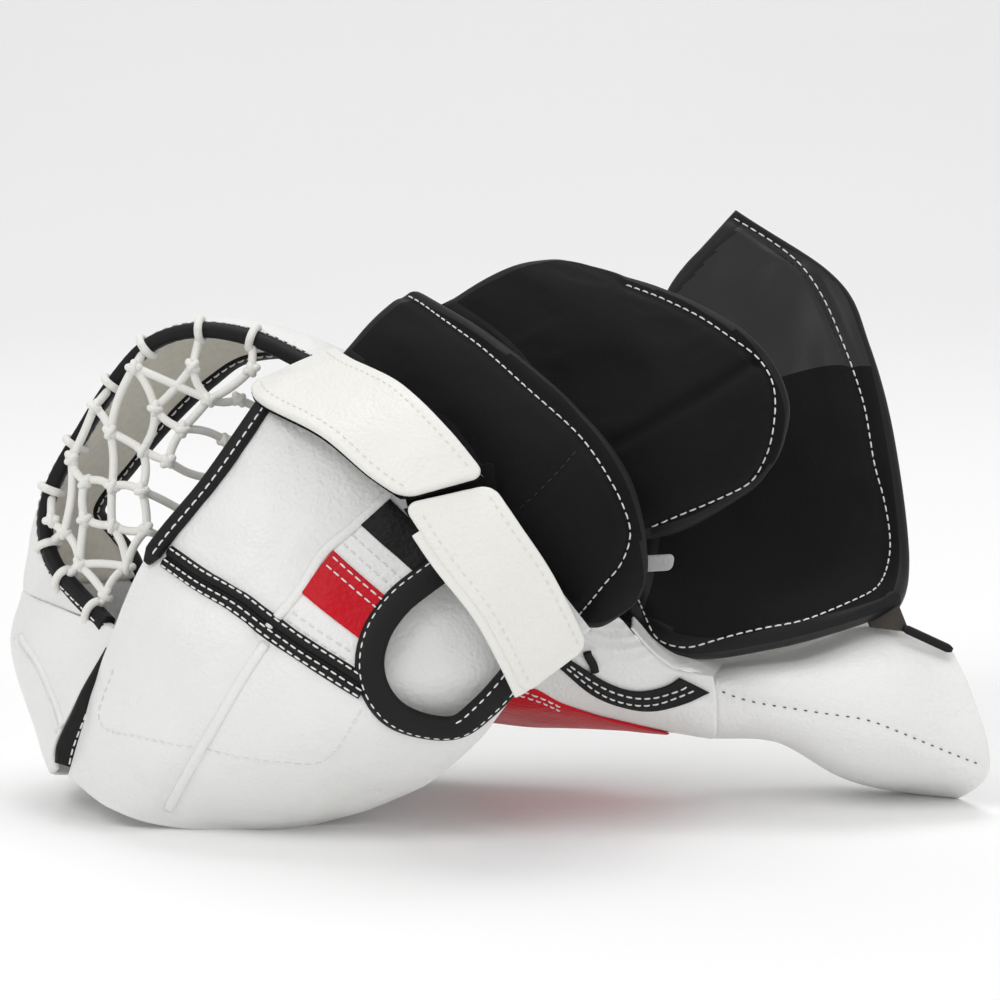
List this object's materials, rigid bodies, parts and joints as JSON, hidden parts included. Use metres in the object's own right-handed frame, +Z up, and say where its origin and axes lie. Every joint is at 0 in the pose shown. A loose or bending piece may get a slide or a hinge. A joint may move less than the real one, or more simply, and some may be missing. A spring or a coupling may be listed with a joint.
{
  "type": "goalie catching glove",
  "caption": "Left-hand ice hockey goalie catching glove with a laced cord pocket, stiff rim, padded finger back, hand straps, wrist pads and cuff, lying on its little-finger side.",
  "frame": {"origin": "on the floor, under the middle of the glove's bounding box", "axes": "+X from the fingertips to the cuff, +Y away from the back of the hand towards the catching face, +Z up"},
  "size_m": [0.4167, 0.2073, 0.245],
  "materials": {
    "white_leather": "white synthetic leather, satin",
    "red_leather": "red synthetic leather, satin",
    "black_patch": "black synthetic leather",
    "black_binding": "black bound edge and sewn strip",
    "rim_felt": "warm grey lining of the rim, white leather outside",
    "net_cord": "white braided nylon cord",
    "black_nylon": "black padded nylon",
    "smooth_lining": "smooth black padded lining",
    "grey_tab": "grey tab",
    "grey_webbing": "grey woven webbing"
  },
  "bodies": {
    "root": {"pocket_rim": "rim_felt", "rim_net_binding": "black_binding", "rim_mouth_binding": "black_binding", "fingertip_wall": "white_leather", "tip_binding": "black_binding", "pocket_net": "net_cord", "finger_back": "white_leather", "finger_back_binding": "black_binding", "opening_binding": "black_binding", "finger_stall": "white_leather", "stripe_black": "black_patch", "stripe_red": "red_leather", "finger_seam_strip": "black_binding", "side_wall": "white_leather", "catching_face": "white_leather", "thumb": "white_leather", "back_hand_pad": "black_nylon", "wrist_pad": "black_nylon", "hand_gusset": "black_nylon", "cuff_lining": "smooth_lining", "cuff_back": "white_leather", "upper_strap": "white_leather", "lower_strap": "white_leather", "strap_hook_pad": "black_binding", "cuff_shell": "white_leather", "palm_heel": "white_leather", "heel_strip": "black_binding", "heel_red": "red_leather", "heel_loop": "black_binding", "cuff_tab": "grey_tab", "cuff_webbing": "grey_webbing", "cuff_piping": "black_binding"}
  },
  "joints": []
}
